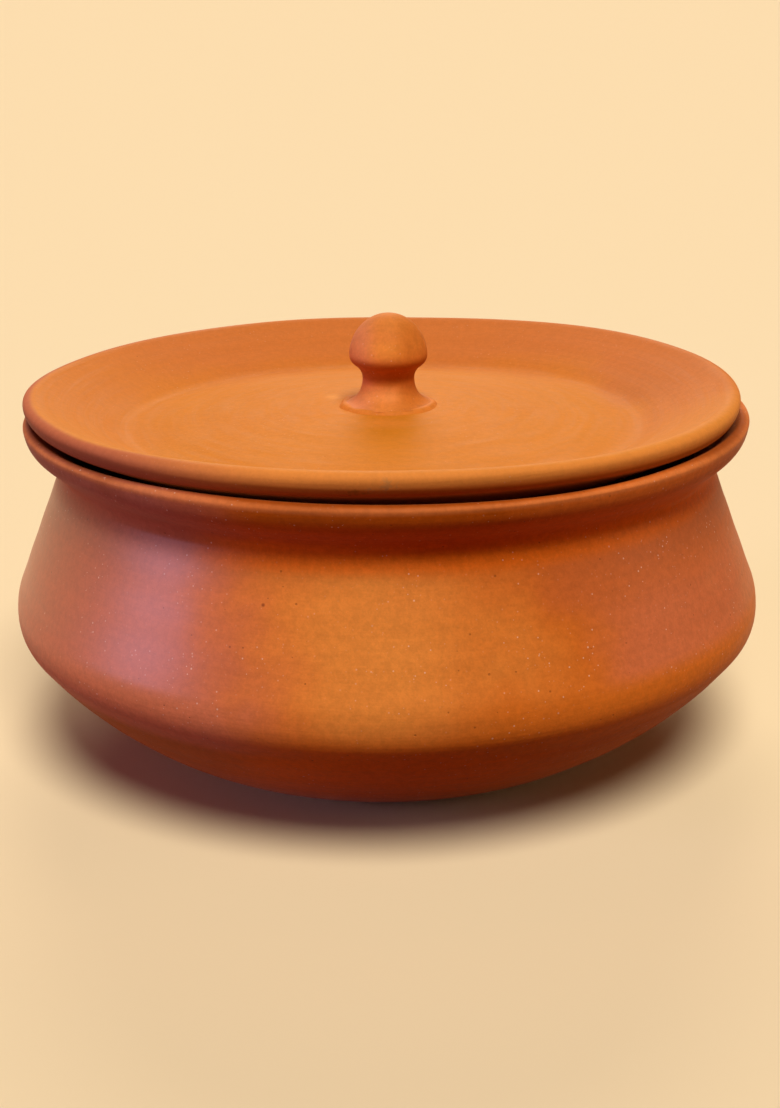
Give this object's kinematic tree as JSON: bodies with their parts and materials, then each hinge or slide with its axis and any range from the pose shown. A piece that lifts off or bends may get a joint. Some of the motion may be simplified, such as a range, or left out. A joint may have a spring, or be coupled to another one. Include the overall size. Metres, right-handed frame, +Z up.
{
  "type": "clay curd pot",
  "caption": "Round terracotta pot with a keeled belly, drawn-in neck and flared rim, and a dished lift-off lid with a ball knob, for setting and keeping curd.",
  "frame": {"origin": "centre of the flat base, on the surface the pot stands on", "axes": "+Z up along the pot's axis of turning, +X and +Y level; the pictured side faces -Y"},
  "size_m": [0.22, 0.22, 0.1245],
  "materials": {
    "pot_clay": "unglazed terracotta, burnished to a soft satin, orange-brown with mica specks",
    "lid_clay": "unglazed terracotta, smooth matte to satin, warm orange",
    "knob_clay": "unglazed terracotta, smooth satin, slightly darker orange"
  },
  "bodies": {
    "pot": {"pot": "pot_clay"},
    "lid": {"lid": "lid_clay", "lid_knob": "knob_clay"}
  },
  "joints": [
    {"name": "lid_lift", "type": "slide", "parent": "pot", "child": "lid", "axis": [0, 0, 1], "range_m": [0, 0.1]}
  ]
}
